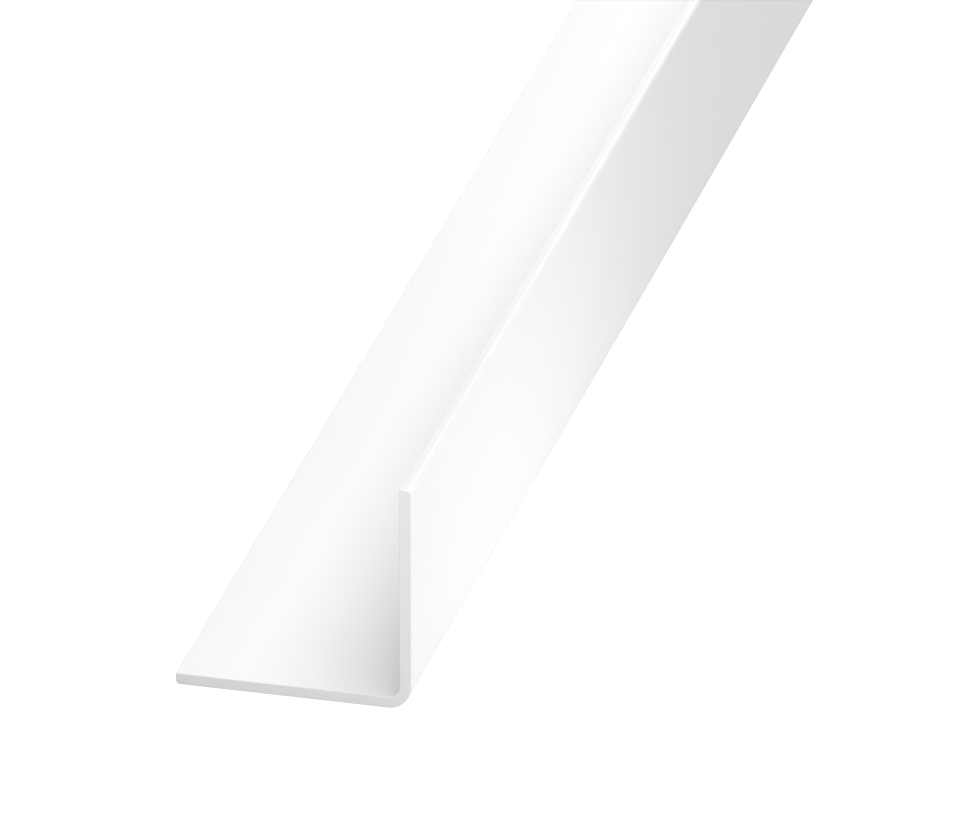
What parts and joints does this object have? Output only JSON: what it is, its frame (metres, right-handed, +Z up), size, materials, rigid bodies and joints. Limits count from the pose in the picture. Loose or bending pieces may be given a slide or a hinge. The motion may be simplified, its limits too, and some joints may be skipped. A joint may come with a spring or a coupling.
{
  "type": "pvc angle profile",
  "caption": "Straight L-shaped bar of rigid white PVC with thin equal legs, a rounded bend and softened leg tips, glued on as a corner trim or edge protector.",
  "frame": {"origin": "on the floor, under the middle of the bar's box", "axes": "+X across the flat leg towards the upright leg, +Y along the bar away from the end nearest the camera, +Z up"},
  "size_m": [0.03, 1, 0.03],
  "materials": {
    "white_pvc": "satin"
  },
  "bodies": {
    "root": {"angle_profile": "white_pvc"}
  },
  "joints": []
}
